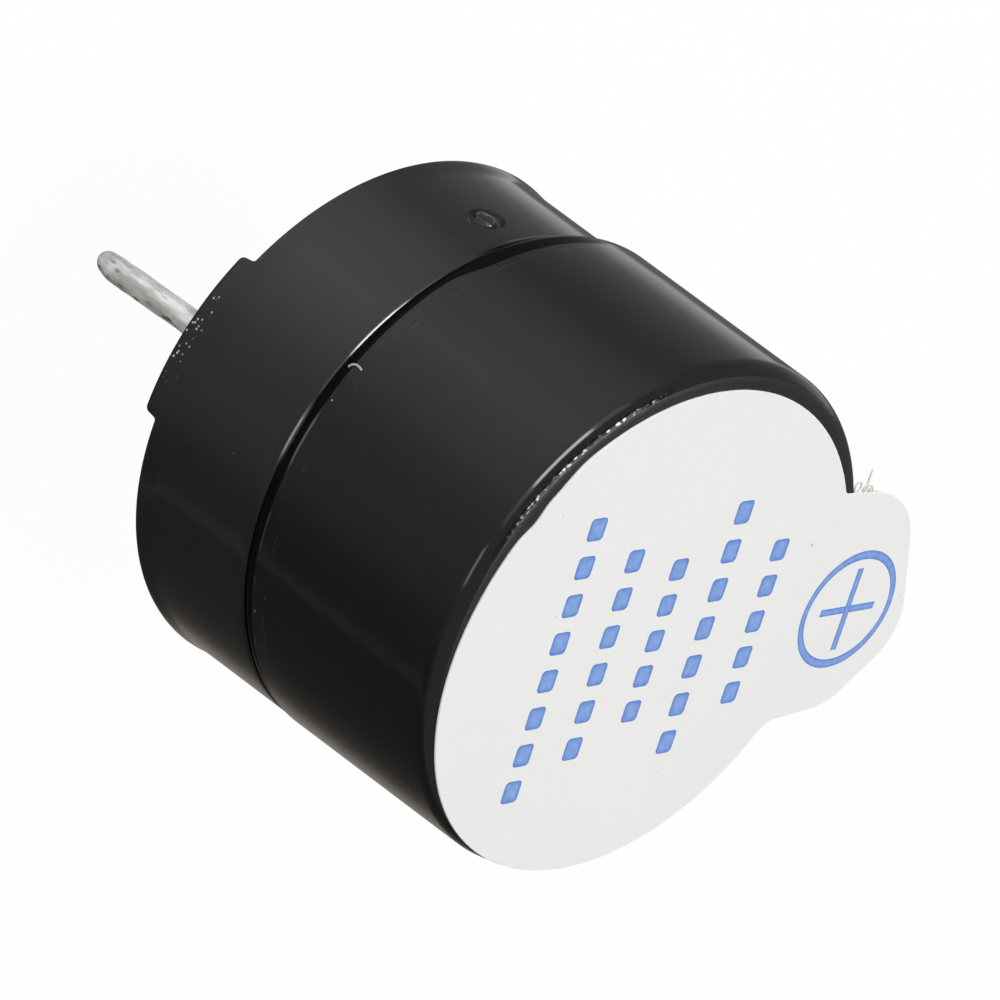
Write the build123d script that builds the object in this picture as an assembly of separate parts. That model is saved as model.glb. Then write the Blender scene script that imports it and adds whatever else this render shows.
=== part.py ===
from build123d import *
import os

# Active buzzer: a round sounder with two pins, a housing of two mouldings and a peel-off seal film.
# Millimetres. The origin is the middle of the seat plane, on the feet.
# +Z points from the pins to the sound hole, and +X to the positive pin.

# Housing, outside. Case and cap widen towards their open ends, and the cap is glued on a little off the axis
overall_height = 9.5
joint_height = 3.75
cap_diameter = 12.12
cap_draft = 0.155
cap_shift = 0.105
cap_top_rounding = 0.4
cap_joint_rounding = 0.3
case_step = 0.13
case_draft = 0.1
rim_flare = 0.055
rim_band_height = 0.4
rim_flare_height = 1.1
case_edge_chamfer = 0.07
foot_height = 0.34
foot_angle = 36
foot_turn = -1.4
foot_rounding = 0.12

# Housing, walls and bores
cap_wall = 0.7
cap_roof = 1.0
cap_lead_in = 0.15
sound_hole_diameter = 2.0
case_wall = 0.8
spigot_wall = 0.5
spigot_lead_in = 0.1
board_ledge = 0.85
diaphragm_ledge = 0.27
diaphragm_lip = 0.3

# Mark that the moulding gate leaves on the case, a ring groove round a small pip
gate_angle = 118.7
gate_height = 2.65
gate_diameter = 0.7
gate_pip_diameter = 0.3
gate_depth = 0.03

# Seal film: a disc with a grip tab, turned and off the axis as it was stuck on
film_margin = 0.295
film_thickness = 0.05
film_turn = 19
film_shift = 0.11
tab_overhang = 2.6
tab_half_width = 2.97
tab_corner_shares = ((0, 1), (0.854, 1), (1.034, -0.216), (0.834, -0.767), (0, -1.096))
tab_shoulder_rounding = 2.0
tab_end_rounding = 1.3
tab_return_rounding = 1.5
upper_neck_rounding = 0.2
lower_neck_rounding = 0.6

# Pins
pin_inset = 1.33
pin_diameter = 0.6
pin_tip_rounding = 0.25
negative_pin_length = 4.95
positive_pin_length = 6.5
pin_root_diameter = 1.0
pin_tail_diameter = 0.5
pin_protrusion = 0.5

# Potting
potting_recess = 0.4
potting_depth = 0.8
meniscus_width = 0.3
meniscus_height = 0.14

# Circuit board and its copper
board_thickness = 0.8
pin_hole_diameter = 0.7
copper_thickness = 0.04
pin_pad_diameter = 1.3
lead_pad_diameter = 0.8
chip_pad_margin = 0.08

# Transistor
transistor_length = 2.9
transistor_width = 1.3
transistor_height = 1.0
transistor_standoff = 0.05
transistor_chamfer = 0.12
transistor_offset = 1.9
leg_reach = 0.55
leg_pitch = 1.9
leg_width = 0.42
leg_thickness = 0.12
leg_foot = 0.32

# Resistor
resistor_length = 2.0
resistor_width = 1.25
resistor_height = 0.5
resistor_offset = 0.3
terminal_length = 0.35
terminal_plating = 0.04

# Solder
pin_solder_diameter = 1.1
pin_solder_height = 0.4
lead_solder_diameter = 0.6
lead_solder_height = 0.25
solder_neck_diameter = 0.2

# Magnetic motor
yoke_thickness = 0.8
core_share = 0.234
core_tail_share = 0.149
coil_share = 0.617
magnet_bore_share = 0.713
core_chamfer = 0.15
coil_drop = 0.25
magnet_drop = 0.3
magnet_chamfer = 0.15
lead_diameter = 0.12
lead_hole_diameter = 0.5
lead_angles = (0, 180, 270)
diaphragm_thickness = 0.08
weight_diameter = 4.0
weight_thickness = 0.35

# Clearances
joint_fit = 0.02
board_fit = 0.05
motor_fit = 0.03
solder_relief = 0.1
headroom = 0.12
air_gap = 0.25
sound_chamber = 0.98

# Heights above the seat plane, from the underside up
potting_face = foot_height + potting_recess
board_underside = potting_face + potting_depth
board_top = board_underside + board_thickness
copper_top = board_top + copper_thickness
yoke_seat = copper_top + transistor_standoff + transistor_height + headroom
yoke_top = yoke_seat + yoke_thickness
ceiling = overall_height - cap_roof
diaphragm_top = ceiling - sound_chamber - weight_thickness
diaphragm_seat = diaphragm_top - diaphragm_thickness
spigot_top = diaphragm_seat + diaphragm_lip
core_top = diaphragm_seat - air_gap
coil_top = core_top - coil_drop
magnet_top = core_top - magnet_drop

# Radii, from the outside in
cap_radius = cap_diameter / 2
cap_bore = cap_radius - cap_wall
case_radius = cap_radius - case_step
rim_radius = case_radius + case_draft + rim_flare
flare_radius = case_radius + case_draft * (joint_height - rim_flare_height) / joint_height
case_bore = case_radius - case_wall
spigot_radius = cap_bore - cap_shift - joint_fit
motor_bore = spigot_radius - spigot_wall
diaphragm_bore = motor_bore + diaphragm_ledge
ledge_bore = case_bore - board_ledge
board_radius = case_bore - board_fit
motor_radius = motor_bore - motor_fit
magnet_bore = motor_radius * magnet_bore_share
coil_radius = motor_radius * coil_share
core_radius = motor_radius * core_share
core_tail_radius = motor_radius * core_tail_share
coil_bore = core_radius + motor_fit
lead_circle = (coil_bore + coil_radius) / 2
film_radius = cap_radius - cap_draft - film_margin
tab_reach = film_radius + tab_overhang
pin_offset = case_bore - pin_inset
transistor_span = transistor_width + 2 * leg_reach


def turned(*corners):
    """A solid turned about Z from corners of (radius, height, rounding)."""
    points = [(radius, height) for radius, height, rounding in corners]
    roundings = [rounding for radius, height, rounding in corners]
    outline = make_face(FilletPolyline(*points, radius=roundings, close=True))
    return revolve(Plane.XZ * outline, Axis.Z)


def disc(radius, bottom, top):
    """A plain disc or rod that stands on Z."""
    return Pos(0, 0, bottom) * extrude(Circle(radius), top - bottom)


def block(length, width, bottom, top):
    """A plain block centred on Z."""
    return Pos(0, 0, bottom) * extrude(Rectangle(length, width), top - bottom)


def solder_cone(diameter, height):
    """A solder fillet that stands on the copper."""
    return Pos(0, 0, copper_top) * Cone(
        diameter / 2,
        solder_neck_diameter / 2,
        height,
        align=(Align.CENTER, Align.CENTER, Align.MIN),
    )


# Places that repeat
pin_places = [Pos(side * pin_offset, 0, 0) for side in (-1, 1)]
lead_places = [Rot(0, 0, angle) * Pos(lead_circle, 0, 0) for angle in lead_angles]
transistor_place = Pos(0, transistor_offset, 0)
resistor_place = Pos(0, -resistor_offset, 0)


def rim_gaps():
    """The two clear stretches of the rim between the feet, as a cutter on the seat plane."""
    reach = Vector(2 * rim_radius, 0)
    edges = [reach.rotate(Axis.Z, side * foot_angle / 2) for side in (-1, 1)]
    wedge = make_face(Polyline((0, 0), *edges, close=True))
    clear = Circle(rim_radius + foot_rounding) - [wedge, Rot(0, 0, 180) * wedge]
    return Rot(0, 0, foot_turn) * extrude(clear, foot_height)


def gate_mark():
    """The ring groove round the gate's pip, as a cutter that points out of the case wall."""
    ring = Circle(gate_diameter / 2) - Circle(gate_pip_diameter / 2)
    groove = extrude(Plane.YZ * ring, gate_depth + gate_diameter)
    wall = case_radius + case_draft * (joint_height - gate_height) / joint_height
    return Rot(0, 0, gate_angle) * Pos(wall - gate_depth, 0, gate_height) * groove


def lower_case():
    """The moulded cup: rim, board ledge, yoke seat, spigot and diaphragm ledge in one piece."""
    cup = turned(
        (case_bore, 0, 0),
        (rim_radius, 0, 0),
        (rim_radius, rim_band_height, 0),
        (flare_radius, rim_flare_height, 0),
        (case_radius, joint_height - case_edge_chamfer, 0),
        (case_radius - case_edge_chamfer, joint_height, 0),
        (spigot_radius, joint_height, 0),
        (spigot_radius, spigot_top - spigot_lead_in, 0),
        (spigot_radius - spigot_lead_in, spigot_top, 0),
        (diaphragm_bore, spigot_top, 0),
        (diaphragm_bore, diaphragm_seat, 0),
        (motor_bore, diaphragm_seat, 0),
        (motor_bore, yoke_seat, 0),
        (ledge_bore, yoke_seat, 0),
        (ledge_bore, board_top, 0),
        (case_bore, board_top, 0),
    )
    cup -= rim_gaps()
    foot_ends = cup.edges().filter_by(GeomType.LINE).group_by(Axis.Z)[0]
    cup = fillet(foot_ends, foot_rounding)
    relief_radius = pin_pad_diameter / 2 + solder_relief
    relief = disc(relief_radius, board_top, copper_top + pin_protrusion + solder_relief)
    cup -= [place * relief for place in pin_places]
    return cup - gate_mark()


def top_cap():
    """The moulded cap: a drafted skirt over the spigot, and a roof with the sound hole."""
    hole = sound_hole_diameter / 2
    return Pos(0, cap_shift, 0) * turned(
        (cap_bore + cap_lead_in, joint_height, 0),
        (cap_radius, joint_height, cap_joint_rounding),
        (cap_radius - cap_draft, overall_height, cap_top_rounding),
        (hole, overall_height, 0),
        (hole, ceiling, 0),
        (cap_bore, ceiling, 0),
        (cap_bore, joint_height + cap_lead_in, 0),
    )


def necked(outline, rounding):
    """The outline with its inward corners rounded, by growing it and drawing it back."""
    grown = offset(outline, rounding, kind=Kind.ARC)
    return offset(grown, -rounding, kind=Kind.INTERSECTION)


def seal_film():
    """The film: a disc that covers the sound hole, and its grip tab past the cap's edge."""
    corners = [(tab_reach * along, tab_half_width * across) for along, across in tab_corner_shares]
    roundings = (0, tab_shoulder_rounding, tab_end_rounding, tab_return_rounding, 0)
    tab = make_face(FilletPolyline(*corners, radius=roundings, close=True))
    outline = Sketch() + [Circle(film_radius), tab]
    lower_half = Rectangle(2 * tab_reach, tab_reach, align=(Align.CENTER, Align.MAX))
    outline = necked(outline, upper_neck_rounding) + (necked(outline, lower_neck_rounding) & lower_half)
    return Pos(0, -film_shift, overall_height) * Rot(0, 0, film_turn) * extrude(outline, film_thickness)


def pin(length):
    """A shouldered pin: free stretch, root that flares from the seat plane, and a tail in the board."""
    radius = pin_diameter / 2
    return turned(
        (0, -length, 0),
        (radius, -length, pin_tip_rounding),
        (radius, 0, 0),
        (pin_root_diameter / 2, board_underside, 0),
        (pin_tail_diameter / 2, board_underside, 0),
        (pin_tail_diameter / 2, copper_top + pin_protrusion, 0),
        (0, copper_top + pin_protrusion, 0),
    )


def potting(pins):
    """The resin: it creeps down the case wall a little, and fits round the pins."""
    resin = turned(
        (0, potting_face, 0),
        (case_bore - meniscus_width, potting_face, 0),
        (case_bore, potting_face - meniscus_height, 0),
        (case_bore, board_underside, 0),
        (0, board_underside, 0),
    )
    return resin - pins


def circuit_board():
    """The round board with its two pin holes."""
    board = disc(board_radius, board_underside, board_top)
    hole = disc(pin_hole_diameter / 2, board_underside, board_top)
    return board - [place * hole for place in pin_places]


def copper_pads():
    """The pads under the pins' and wires' solder, the transistor's legs and the resistor's ends."""
    pin_pad = disc(pin_pad_diameter / 2, board_top, copper_top)
    pin_pad -= disc(pin_hole_diameter / 2, board_top, copper_top)
    pads = [place * pin_pad for place in pin_places]
    lead_pad = disc(lead_pad_diameter / 2, board_top, copper_top)
    pads += [place * lead_pad for place in lead_places]
    leg_pad = block(leg_width + chip_pad_margin, leg_foot + chip_pad_margin, board_top, copper_top)
    pads += [place * leg_pad for place in leg_places()]
    end_pad = block(
        terminal_length + chip_pad_margin,
        resistor_width + chip_pad_margin,
        board_top,
        copper_top,
    )
    pads += [place * end_pad for place in terminal_places()]
    return Part() + pads


def leg_places():
    """Where the transistor's three feet stand: two on one side and one on the other."""
    across = (transistor_span - leg_foot) / 2
    spots = ((-leg_pitch / 2, -across), (leg_pitch / 2, -across), (0, across))
    return [transistor_place * Pos(along, side, 0) for along, side in spots]


def terminal_places():
    """Where the resistor's two end caps stand."""
    along = (resistor_length - terminal_length) / 2
    return [resistor_place * Pos(side * along, 0, 0) for side in (-1, 1)]


def transistor_body():
    """The moulded package, chamfered round its top."""
    bottom = copper_top + transistor_standoff
    body = block(transistor_length, transistor_width, bottom, bottom + transistor_height)
    rim = body.faces().sort_by(Axis.Z)[-1].edges()
    return transistor_place * chamfer(rim, transistor_chamfer)


def transistor_leads():
    """Three bent legs, from the package's sides down to their pads."""
    knee = transistor_span / 2 - leg_foot
    arm_top = transistor_standoff + transistor_height / 2
    arm_bottom = arm_top - leg_thickness
    inner = knee - leg_thickness
    side = make_face(
        Polyline(
            (transistor_span / 2, 0),
            (transistor_span / 2, leg_thickness),
            (knee, leg_thickness),
            (knee, arm_top),
            (transistor_width / 2, arm_top),
            (transistor_width / 2, arm_bottom),
            (inner, arm_bottom),
            (inner, 0),
            close=True,
        )
    )
    leg = Pos(0, 0, copper_top) * extrude(Plane.YZ * side, leg_width / 2, both=True)
    pair = [Pos(side * leg_pitch / 2, 0, 0) * Rot(0, 0, 180) * leg for side in (-1, 1)]
    return transistor_place * (Part() + [leg, *pair])


def resistor_core():
    """The ceramic chip, clear of the copper by its terminals' plating."""
    bottom = copper_top + terminal_plating
    length = resistor_length - 2 * terminal_plating
    width = resistor_width - 2 * terminal_plating
    return block(length, width, bottom, copper_top + resistor_height - terminal_plating)


def resistor_body():
    """The ceramic chip in its place."""
    return resistor_place * resistor_core()


def resistor_terminals():
    """The two plated end caps that wrap the chip."""
    cap = block(terminal_length, resistor_width, copper_top, copper_top + resistor_height)
    ends = [place * cap for place in terminal_places()]
    return Part() + [end - resistor_body() for end in ends]


def solder_joints(pins, wires):
    """Solder fillets round the pins' tails and the coil's wires."""
    pin_cone = solder_cone(pin_solder_diameter, pin_solder_height)
    lead_cone = solder_cone(lead_solder_diameter, lead_solder_height)
    cones = [place * pin_cone - pins for place in pin_places]
    cones += [place * lead_cone - wires for place in lead_places]
    return Part() + cones


def yoke_plate():
    """The round iron plate, bored for the core's tail and the coil's wires."""
    plate = disc(motor_radius, yoke_seat, yoke_top)
    plate -= disc(core_tail_radius + joint_fit, yoke_seat, yoke_top)
    hole = disc(lead_hole_diameter / 2, yoke_seat, yoke_top)
    return plate - [place * hole for place in lead_places]


def core_pole():
    """The iron pole, with a thinner tail through the yoke plate."""
    return turned(
        (0, yoke_seat, 0),
        (core_tail_radius, yoke_seat, 0),
        (core_tail_radius, yoke_top, 0),
        (core_radius, yoke_top, 0),
        (core_radius, core_top - core_chamfer, 0),
        (core_radius - core_chamfer, core_top, 0),
        (0, core_top, 0),
    )


def coil_winding():
    """The winding on the pole, as one block."""
    return turned(
        (coil_bore, yoke_top, 0),
        (coil_radius, yoke_top, 0),
        (coil_radius, coil_top, 0),
        (coil_bore, coil_top, 0),
    )


def coil_leads():
    """The wires from the winding, through the yoke plate, to their pads."""
    wire = disc(lead_diameter / 2, copper_top, yoke_top)
    return Part() + [place * wire for place in lead_places]


def ring_magnet():
    """The ring magnet that stands on the yoke plate round the coil."""
    return turned(
        (magnet_bore, yoke_top, 0),
        (motor_radius, yoke_top, 0),
        (motor_radius, magnet_top - magnet_chamfer, 0),
        (motor_radius - magnet_chamfer, magnet_top, 0),
        (magnet_bore + magnet_chamfer, magnet_top, 0),
        (magnet_bore, magnet_top - magnet_chamfer, 0),
    )


def diaphragm():
    """The thin iron disc on the case's ledge."""
    return disc(diaphragm_bore - motor_fit, diaphragm_seat, diaphragm_top)


def diaphragm_weight():
    """The small disc that weighs the diaphragm's middle."""
    return disc(weight_diameter / 2, diaphragm_top, diaphragm_top + weight_thickness)


negative_pin = pin_places[0] * pin(negative_pin_length)
positive_pin = pin_places[1] * pin(positive_pin_length)
both_pins = [negative_pin, positive_pin]
wires = coil_leads()

pieces = {
    "lower_case": lower_case(),
    "top_cap": top_cap(),
    "seal_film": seal_film(),
    "negative_pin": negative_pin,
    "positive_pin": positive_pin,
    "potting": potting(both_pins),
    "circuit_board": circuit_board(),
    "copper_pads": copper_pads(),
    "transistor_body": transistor_body(),
    "transistor_leads": transistor_leads(),
    "resistor_body": resistor_body(),
    "resistor_terminals": resistor_terminals(),
    "solder_joints": solder_joints(both_pins, wires),
    "yoke_plate": yoke_plate(),
    "core_pole": core_pole(),
    "coil_winding": coil_winding(),
    "coil_leads": wires,
    "ring_magnet": ring_magnet(),
    "diaphragm": diaphragm(),
    "diaphragm_weight": diaphragm_weight(),
}

os.makedirs("parts", exist_ok=True)
for name, solid in pieces.items():
    export_step(solid, f"parts/{name}.step")
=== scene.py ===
import math

import bmesh
import bpy
from mathutils import Matrix, Vector, noise


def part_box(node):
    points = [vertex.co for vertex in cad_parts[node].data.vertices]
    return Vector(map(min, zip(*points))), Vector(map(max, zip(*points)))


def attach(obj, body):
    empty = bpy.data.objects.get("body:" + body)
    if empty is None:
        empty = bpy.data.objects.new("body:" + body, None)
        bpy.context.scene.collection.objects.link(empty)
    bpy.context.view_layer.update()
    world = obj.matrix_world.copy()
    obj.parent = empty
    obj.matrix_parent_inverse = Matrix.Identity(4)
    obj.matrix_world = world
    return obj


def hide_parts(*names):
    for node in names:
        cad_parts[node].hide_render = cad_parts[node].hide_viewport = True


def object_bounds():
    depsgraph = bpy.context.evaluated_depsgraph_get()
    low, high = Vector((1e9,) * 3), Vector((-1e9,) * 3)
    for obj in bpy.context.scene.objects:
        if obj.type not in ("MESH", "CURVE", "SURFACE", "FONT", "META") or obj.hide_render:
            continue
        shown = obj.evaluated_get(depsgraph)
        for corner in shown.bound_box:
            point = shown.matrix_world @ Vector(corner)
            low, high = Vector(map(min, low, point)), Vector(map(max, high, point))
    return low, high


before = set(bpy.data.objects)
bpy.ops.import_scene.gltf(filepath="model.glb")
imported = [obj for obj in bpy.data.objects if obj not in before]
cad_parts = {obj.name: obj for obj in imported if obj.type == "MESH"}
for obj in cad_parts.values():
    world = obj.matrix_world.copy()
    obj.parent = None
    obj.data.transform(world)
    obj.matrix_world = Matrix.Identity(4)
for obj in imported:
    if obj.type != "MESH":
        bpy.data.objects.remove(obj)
cad_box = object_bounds()

# Looks of a small round buzzer: black moulded case and cap, tinned pins and a white seal film.
# Metres, in the frame of the solids: +Z to the sound hole, +X to the positive pin.
MM = 0.001
MICRON = 0.000001
PER_MM = 1000
TURN = 2 * math.pi

# Places read from the solids
cap_low, cap_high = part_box("top_cap")
film_low, film_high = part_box("seal_film")
negative_low, negative_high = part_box("negative_pin")
positive_low, positive_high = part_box("positive_pin")
CAP_TOP = cap_high.z
JOINT = cap_low.z
CASE_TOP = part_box("lower_case")[1].z
FILM_TOP = film_high.z
PIN_OFFSET = (positive_low.x + positive_high.x) / 2
ROOT_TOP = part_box("potting")[1].z
TAIL_TOP = negative_high.z
BOARD_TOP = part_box("circuit_board")[1].z
YOKE_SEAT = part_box("yoke_plate")[0].z
DIAPHRAGM_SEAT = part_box("diaphragm")[0].z

# Cap
CAP_SHIFT = 0.105 * MM
CAP_RADIUS = 6.06 * MM
CAP_DRAFT = 0.155 * MM
CAP_TOP_ROUNDING = 0.4 * MM
CAP_JOINT_ROUNDING = 0.3 * MM
CAP_BORE = 5.36 * MM
CAP_LEAD_IN = 0.15 * MM
CAP_CEILING = CAP_TOP - 1.0 * MM
SOUND_HOLE_RADIUS = 1.0 * MM
CAP_SEGMENTS = 1200
GRAIN_SLOPE = 57
GLINT_BAND = (CAP_TOP - 0.09 * MM, CAP_TOP - 0.042 * MM)
# How high the painted shade in the groove reaches on the cap
GROOVE_TOP = JOINT + 0.38 * MM
SCUFF_TOP = JOINT + 0.74 * MM

# Case
CASE_RADIUS = 5.93 * MM
CASE_DRAFT = 0.1 * MM
RIM_FLARE = 0.055 * MM
RIM_RADIUS = CASE_RADIUS + CASE_DRAFT + RIM_FLARE
RIM_BAND = 0.3 * MM
FLARE_HEIGHT = 0.9 * MM
WALL_MIDDLE = 1.6 * MM
WALL_TOP = 3.4 * MM
CASE_BORE = 5.13 * MM
SHOULDER_DROP = 0.05 * MM
SHOULDER_INSET = 0.025 * MM
SHOULDER_ROUNDING = 0.014 * MM
RIM_ROUNDING = 0.04 * MM
SPIGOT_RADIUS = 5.235 * MM
SPIGOT_LEAD_IN = 0.1 * MM
DIAPHRAGM_BORE = 5.005 * MM
MOTOR_BORE = 4.735 * MM
LEDGE_BORE = 4.28 * MM
RELIEF_RADIUS = 0.75 * MM
RELIEF_TOP = TAIL_TOP + 0.1 * MM
FOOT_HEIGHT = 0.34 * MM
FOOT_HALF_ANGLE = math.radians(18)
FOOT_TURN = math.radians(-1.4)
FOOT_ROUNDING = 0.12 * MM
FOOT_SLANT = 0.02 * MM
FOOT_FILLET = 0.08 * MM
CASE_SEGMENTS = 480

# Mark that the moulding gate left
GATE_ANGLE = math.radians(118.7)
GATE_HEIGHT = 2.65 * MM
GATE_RADIUS = 0.4 * MM
GATE_PIP = (0.17 * MM, 0.27 * MM)
GATE_DEPTH = 0.035 * MM
GATE_LIP = 0.035 * MM
GATE_BAND = 0.5 * MM

# Film
FILM_TURN = math.radians(19)
FILM_SHIFT = 0.11 * MM
FILM_RADIUS = 5.61 * MM
TAB_REACH = 8.21 * MM
TAB_HALF_WIDTH = 2.97 * MM
FILM_EDGE = 0.012 * MM
FILM_TRIM = 0.118 * MM
FILM_DENT_ANGLE = 148
FILM_DENT_WIDTH = 3.5
FILM_DENT = 0.09 * MM

# Places of painted shade, painted highlights, glints and crumbs on the housing, in degrees from the film's tab
WIDE_GROOVE_SHADE_CAP = 98
WIDE_GROOVE_SHADE_CASE = 93
CAP_GLINTS = 134
POLISHED_SHOULDER = 137.5
FOOT_CRUMBS_AND_GLINTS = 160
JOINT_HIGHLIGHT_PATCH = 163

# Pins
PIN_RADIUS = 0.3 * MM
PIN_TIP_ROUNDING = 0.25 * MM
PIN_ROOT_RADIUS = 0.5 * MM
PIN_TAIL_RADIUS = 0.25 * MM

# Print on the film
INK_HEIGHT = 0.003 * MM
PRINT_TURN = math.radians(3.2)
SIGN_PLACE = Vector((6.286, 0.104)) * MM
SIGN_RADII = (1.43 * MM, 1.25 * MM)
SIGN_STROKE = 0.085 * MM
BLOCK_HALF_HEIGHT = 0.23 * MM
BLOCK_ROUNDING = 0.1 * MM
FILM_SPECK = Vector((4.259, 1.801, 0)) * MM

# Rows of blocks: how far along the tab, where the row starts and ends across it, and how many blocks
BLOCK_ROWS = (
    (3.34, 2.0, -2.3, 5),
    (1.79, 3.1, -3.3, 7),
    (0.34, 1.9, -2.3, 5),
    (-1.11, 2.3, -3.0, 6),
    (-2.56, 3.2, -3.8, 8),
)


def rounded(corners, step=math.radians(5)):
    """Points round a closed outline of corners (x, y, rounding)."""
    points = []
    for index, (x, y, rounding) in enumerate(corners):
        corner = Vector((x, y))
        if rounding == 0:
            points.append(corner)
            continue
        before = (Vector(corners[index - 1][:2]) - corner).normalized()
        after = (Vector(corners[(index + 1) % len(corners)][:2]) - corner).normalized()
        half = before.angle(after) / 2
        middle = corner + (before + after).normalized() * (rounding / math.sin(half))
        start = corner + before * (rounding / math.tan(half)) - middle
        turn = math.copysign(math.pi - 2 * half, before.y * after.x - before.x * after.y)
        count = max(2, math.ceil(abs(turn) / step))
        points += [middle + Matrix.Rotation(turn * k / count, 2) @ start for k in range(count + 1)]
    return points


def arc(middle, radius, slopes):
    """Points on an arc of a profile, at normals that rise by these slopes in degrees."""
    x, y = middle
    turns = [math.radians(slope) for slope in slopes]
    return [Vector((x + radius * math.cos(a), y + radius * math.sin(a))) for a in turns]


def smooth(value, low, high):
    """A soft step from 0 at low to 1 at high."""
    share = min(1.0, max(0.0, (value - low) / (high - low)))
    return share * share * (3 - 2 * share)


def piece(name, mesh, slot, *replaced):
    """A piece of the object that rides with the housing."""
    made = bpy.data.objects.new(name, mesh)
    bpy.context.scene.collection.objects.link(made)
    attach(made, "root")
    if replaced:
        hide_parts(*replaced)
    return made


def finish_mesh(name, build, sharp=math.radians(40)):
    """A mesh from a bmesh, smooth but for its sharp edges."""
    bmesh.ops.recalc_face_normals(build, faces=build.faces)
    mesh = bpy.data.meshes.new(name)
    build.to_mesh(mesh)
    build.free()
    mesh.shade_smooth()
    mesh.set_sharp_from_angle(angle=sharp)
    return mesh


def swept(name, columns):
    """A closed mesh from columns of points that follow each other round Z."""
    build = bmesh.new()
    grid = []
    for column in columns:
        line = []
        for point in column:
            same = line and (line[-1].co - point).length < MICRON / 10
            line.append(line[-1] if same else build.verts.new(point))
        grid.append(line)
    for index, line in enumerate(grid):
        before = grid[index - 1]
        for k in range(len(line)):
            corners = dict.fromkeys((before[k - 1], before[k], line[k], line[k - 1]))
            if len(corners) > 2:
                build.faces.new(corners)
    return finish_mesh(name, build)


def around(radius, height, angle):
    """The point at a radius, height and angle round Z."""
    return Vector((radius * math.cos(angle), radius * math.sin(angle), height))


def beside_tab(radius, height, degrees):
    """The point at a radius, height and angle from the film's tab."""
    return around(radius, height, FILM_TURN + math.radians(degrees))


def turned(name, profile, segments, warp):
    """A mesh turned about Z from a closed profile of (radius, height) points, moved by warp."""
    build = bmesh.new()
    rings = []
    for radius, height in profile:
        if radius == 0:
            rings.append([build.verts.new((0, 0, height))] * segments)
            continue
        places = [around(radius, height, TURN * k / segments) for k in range(segments)]
        rings.append([build.verts.new(warp(place)) for place in places])
    for index, ring in enumerate(rings):
        below = rings[index - 1]
        if ring[0] is ring[-1] and below[0] is below[-1]:
            continue
        for k in range(segments):
            corners = (below[k - 1], below[k], ring[k], ring[k - 1])
            build.faces.new(dict.fromkeys(corners))
    return finish_mesh(name, build)


def spaced(start, end, pitch):
    """Evenly spaced points from start to end, without the end."""
    count = max(1, math.ceil((end - start).length / pitch))
    return [start.lerp(end, k / count) for k in range(count)]


# Node helpers


def node(tree, kind, inputs=None, **settings):
    """A shader node with its settings, and its inputs set or linked."""
    made = tree.nodes.new("ShaderNode" + kind)
    for name, value in settings.items():
        setattr(made, name, value)
    for key, value in (inputs or {}).items():
        if isinstance(value, bpy.types.NodeSocket):
            tree.links.new(value, made.inputs[key])
        else:
            made.inputs[key].default_value = value
    return made


def calc(tree, operation, first, second):
    """The result of a Math node."""
    return node(tree, "Math", {0: first, 1: second}, operation=operation).outputs[0]


def times(tree, first, *others):
    """The product of some values."""
    for other in others:
        first = calc(tree, "MULTIPLY", first, other)
    return first


def blend(tree, factor, first, second):
    """A mix of two colours."""
    made = node(tree, "Mix", {0: factor, 6: first, 7: second}, data_type="RGBA")
    return made.outputs[2]


def mix(tree, factor, first, second):
    """A mix of two values."""
    return node(tree, "Mix", {0: factor, 2: first, 3: second}).outputs[0]


def remap(tree, value, low, high, start=0.0, end=1.0):
    """A value taken smoothly from the range low to high into start to end."""
    inputs = {0: value, 1: low, 2: high, 3: start, 4: end}
    return node(tree, "MapRange", inputs, interpolation_type="SMOOTHSTEP").outputs[0]


def grey(level):
    """A neutral colour."""
    return (level, level, level, 1)


def new_material(name):
    """An empty node material, its tree and its surface coordinates in millimetres."""
    material = bpy.data.materials.new(name)
    material.use_nodes = True
    tree = material.node_tree
    tree.nodes.clear()
    place = node(tree, "TexCoord").outputs["Object"]
    scale = {"Vector": place, "Scale": (PER_MM, PER_MM, PER_MM)}
    return material, tree, node(tree, "Mapping", scale).outputs[0]


def speckle(tree, place, scale, detail=3, stretch=(1, 1, 1)):
    """A noise over the surface, with scale in features for each millimetre."""
    wide = node(tree, "Mapping", {"Vector": place, "Scale": stretch}).outputs[0]
    return node(tree, "TexNoise", {"Vector": wide, "Scale": scale, "Detail": detail}).outputs[0]


def dots(tree, place, scale, radius):
    """Small round dots, 1 in the middle, about one in each cell of the scale."""
    cells = node(tree, "TexVoronoi", {"Vector": place, "Scale": scale}).outputs[0]
    return remap(tree, cells, radius, radius / 3)


def bump(tree, height, depth, normal=None):
    """A bump of that depth in metres."""
    inputs = {"Height": height, "Distance": depth, "Strength": 1.0}
    if normal:
        inputs["Normal"] = normal
    return node(tree, "Bump", inputs).outputs[0]


def surface(tree, inputs):
    """The material's surface shader."""
    shader = node(tree, "BsdfPrincipled", inputs)
    node(tree, "OutputMaterial", {"Surface": shader.outputs[0]})


# Materials


def stripe(tree, height, low, high, soft):
    """A band between two heights, in millimetres, with soft borders."""
    over, under = remap(tree, height, low - soft, low), remap(tree, height, high + soft, high)
    return times(tree, over, under)


def black_plastic(name, base):
    """What all of the moulded black plastic has: faint clouds, waves and dust."""
    material, tree, place = new_material(name)
    height = node(tree, "SeparateXYZ", {0: place}).outputs[2]
    cloud = speckle(tree, place, 0.5)
    colour = blend(tree, cloud, grey(base * 0.85), grey(base * 1.15))
    rough = remap(tree, cloud, 0.3, 0.7, 0.09, 0.13)
    patches = remap(tree, speckle(tree, place, 1.1, 2), 0.60, 0.68)
    dust = times(tree, dots(tree, place, 2.6, 0.07), patches)
    colour = blend(tree, times(tree, dust, 0.6), colour, grey(0.16))
    normal = bump(tree, speckle(tree, place, 1.6, 2), 1.0 * MICRON)
    normal = bump(tree, speckle(tree, place, 14, 2), 0.1 * MICRON, normal)
    return material, tree, place, height, colour, rough, normal


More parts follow.
